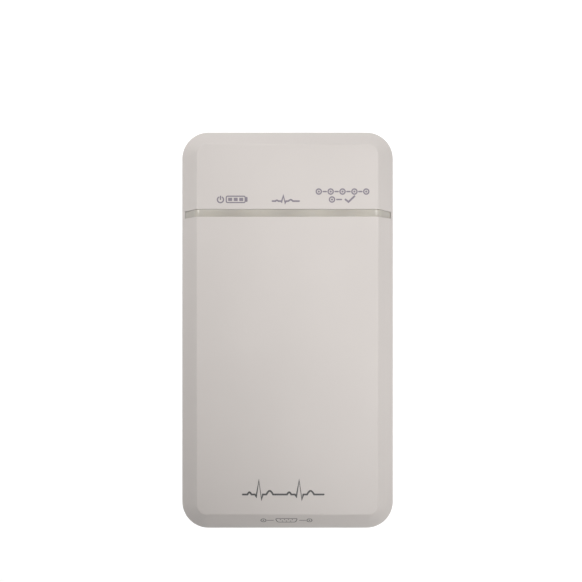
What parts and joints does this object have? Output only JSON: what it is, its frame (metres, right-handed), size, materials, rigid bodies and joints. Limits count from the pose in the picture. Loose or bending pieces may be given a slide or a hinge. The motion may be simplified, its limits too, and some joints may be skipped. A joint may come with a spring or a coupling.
{
  "type": "pc-based ecg recorder",
  "caption": "Hand-held wireless ECG box: chamfered front with light bar, patient-cable socket in one end, flush side power key, sliding battery door in the back.",
  "frame": {"origin": "under the middle of the box, on the plane that the feet rest on", "axes": "+X to the right of the front face, +Y to the top end with the light bar, -Y to the patient-cable socket, +Z out of the front face; the box lies on its back"},
  "size_m": [0.08, 0.15, 0.029],
  "materials": {
    "front_shell": "matte",
    "rear_shell": "matte",
    "light_guide": "satin",
    "key_plastic": "matte",
    "foot_rubber": "matte",
    "black_plastic": "matte",
    "board_green": "satin",
    "lamp_white": "satin",
    "tinned_steel": "satin",
    "screw_steel": "satin",
    "nickel_plate": "polished",
    "bare_aluminium": "satin",
    "blank_label": "satin",
    "cell_sleeve": "satin"
  },
  "bodies": {
    "housing": {"front_cover": "front_shell", "rear_cover": "rear_shell", "light_bar": "light_guide", "led_baffle": "black_plastic", "main_board": "board_green", "led_power": "lamp_white", "led_work": "lamp_white", "led_electrode": "lamp_white", "front_end_shield": "tinned_steel", "radio_board": "board_green", "radio_can": "tinned_steel", "processor_chip": "black_plastic", "memory_chip": "black_plastic", "power_inductor": "black_plastic", "reservoir_capacitor": "bare_aluminium", "board_screw_top_left": "screw_steel", "board_screw_top_right": "screw_steel", "board_screw_bottom_left": "screw_steel", "board_screw_bottom_right": "screw_steel", "cover_screw_top_left": "screw_steel", "cover_screw_top_right": "screw_steel", "cover_screw_bottom_left": "screw_steel", "cover_screw_bottom_right": "screw_steel", "foot_top_left": "foot_rubber", "foot_top_right": "foot_rubber", "foot_bottom_left": "foot_rubber", "foot_bottom_right": "foot_rubber", "rating_label": "blank_label", "power_switch_body": "black_plastic", "socket_panel": "rear_shell", "socket_shell": "nickel_plate", "socket_insulator": "black_plastic", "socket_pin_block": "black_plastic", "jackscrew_left": "nickel_plate", "jackscrew_right": "nickel_plate", "jack_nut_left": "nickel_plate", "jack_nut_right": "nickel_plate", "battery_cell_left": "cell_sleeve", "battery_cell_right": "cell_sleeve", "link_contact": "nickel_plate", "positive_contact": "nickel_plate", "negative_contact": "nickel_plate", "battery_spring_left": "nickel_plate", "battery_spring_right": "nickel_plate"},
    "battery_door": {"battery_door": "rear_shell"},
    "power_key": {"power_key": "key_plastic"},
    "switch_plunger": {"power_switch_plunger": "lamp_white"}
  },
  "joints": [
    {"name": "door_slide", "type": "slide", "parent": "housing", "child": "battery_door", "axis": [0, 1, 0], "range_m": [0, 0.068]},
    {"name": "key_press", "type": "slide", "parent": "housing", "child": "power_key", "axis": [-1, 0, 0], "range_m": [0, 0.0005], "stiffness_N_per_m": 600},
    {"name": "plunger_press", "type": "slide", "parent": "housing", "child": "switch_plunger", "axis": [-1, 0, 0], "range_m": [0, 0.0005]}
  ],
  "couplings": [
    {"joint": "plunger_press", "follows": "key_press", "ratio": 1}
  ]
}
